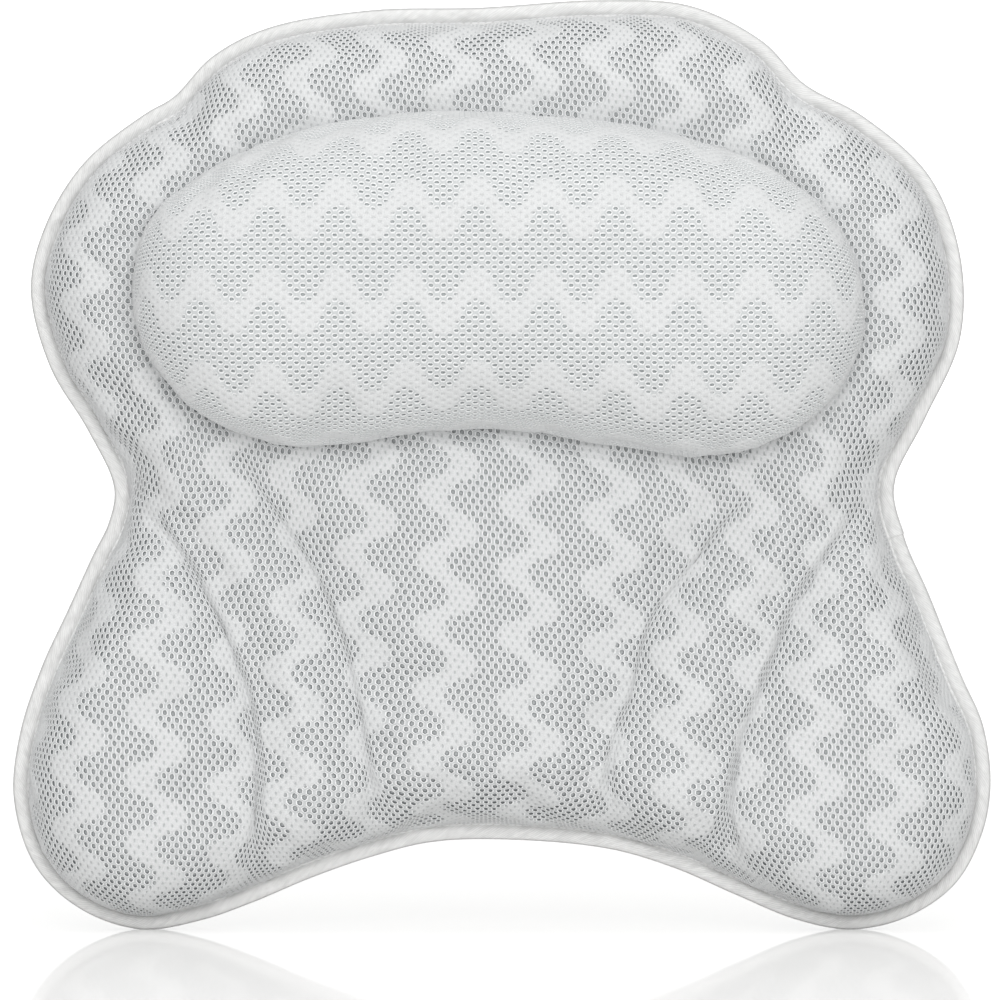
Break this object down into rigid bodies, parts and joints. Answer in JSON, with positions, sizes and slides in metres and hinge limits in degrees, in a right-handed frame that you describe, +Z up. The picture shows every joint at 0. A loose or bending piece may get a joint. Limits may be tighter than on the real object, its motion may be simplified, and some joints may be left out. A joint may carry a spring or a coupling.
{
  "type": "bath pillow",
  "caption": "Butterfly-shaped padded bath pillow in white air mesh with a raised neck roll, held to the tub wall by suction cups on webbing straps.",
  "frame": {"origin": "on the tub wall, in the plane of the suction cups' rims, behind the middle of the pad's outline", "axes": "+X to the right as the bather's side is seen, +Y from the pillow into the tub wall, +Z up"},
  "size_m": [0.3996, 0.1037, 0.38],
  "materials": {
    "air_mesh": "matte",
    "roll_mesh": "matte",
    "back_mesh": "matte",
    "satin_binding": "satin",
    "fibre_fill": "matte",
    "webbing": "matte",
    "clear_vinyl": "gloss"
  },
  "bodies": {
    "pad": {"front_panel": "air_mesh", "back_panel": "back_mesh", "edge_binding": "satin_binding", "filling_wings": "fibre_fill", "filling_right_lobe": "fibre_fill", "filling_left_lobe": "fibre_fill", "filling_right_channel": "fibre_fill", "filling_centre_channel": "fibre_fill", "filling_left_channel": "fibre_fill", "neck_roll_base": "back_mesh", "neck_roll_core": "fibre_fill", "neck_roll_cover": "roll_mesh", "strap_top_left": "webbing", "strap_top_right": "webbing", "strap_middle_left": "webbing", "strap_middle_right": "webbing", "strap_bottom_left": "webbing", "strap_bottom_right": "webbing", "loop_anchor": "webbing"},
    "cup_top_left": {"cup_top_left": "clear_vinyl"},
    "cup_top_right": {"cup_top_right": "clear_vinyl"},
    "cup_middle_left": {"cup_middle_left": "clear_vinyl"},
    "cup_middle_right": {"cup_middle_right": "clear_vinyl"},
    "cup_bottom_left": {"cup_bottom_left": "clear_vinyl"},
    "cup_bottom_right": {"cup_bottom_right": "clear_vinyl"},
    "hanging_loop": {"hanging_loop": "webbing"}
  },
  "joints": [
    {"name": "swivel_top_left", "type": "hinge", "parent": "pad", "child": "cup_top_left", "pos_m": [-0.086, -0.01, 0.1159], "axis": [0, 1, 0], "continuous": true},
    {"name": "swivel_top_right", "type": "hinge", "parent": "pad", "child": "cup_top_right", "pos_m": [0.086, -0.01, 0.1159], "axis": [0, 1, 0], "continuous": true},
    {"name": "swivel_middle_left", "type": "hinge", "parent": "pad", "child": "cup_middle_left", "pos_m": [-0.106, -0.01, 0.0038], "axis": [0, 1, 0], "continuous": true},
    {"name": "swivel_middle_right", "type": "hinge", "parent": "pad", "child": "cup_middle_right", "pos_m": [0.106, -0.01, 0.0038], "axis": [0, 1, 0], "continuous": true},
    {"name": "swivel_bottom_left", "type": "hinge", "parent": "pad", "child": "cup_bottom_left", "pos_m": [-0.13, -0.01, -0.1178], "axis": [0, 1, 0], "continuous": true},
    {"name": "swivel_bottom_right", "type": "hinge", "parent": "pad", "child": "cup_bottom_right", "pos_m": [0.13, -0.01, -0.1178], "axis": [0, 1, 0], "continuous": true},
    {"name": "loop_flip", "type": "hinge", "parent": "pad", "child": "hanging_loop", "pos_m": [0, -0.01825, 0.14045], "axis": [1, 0, 0], "range_deg": [0, 175]}
  ]
}
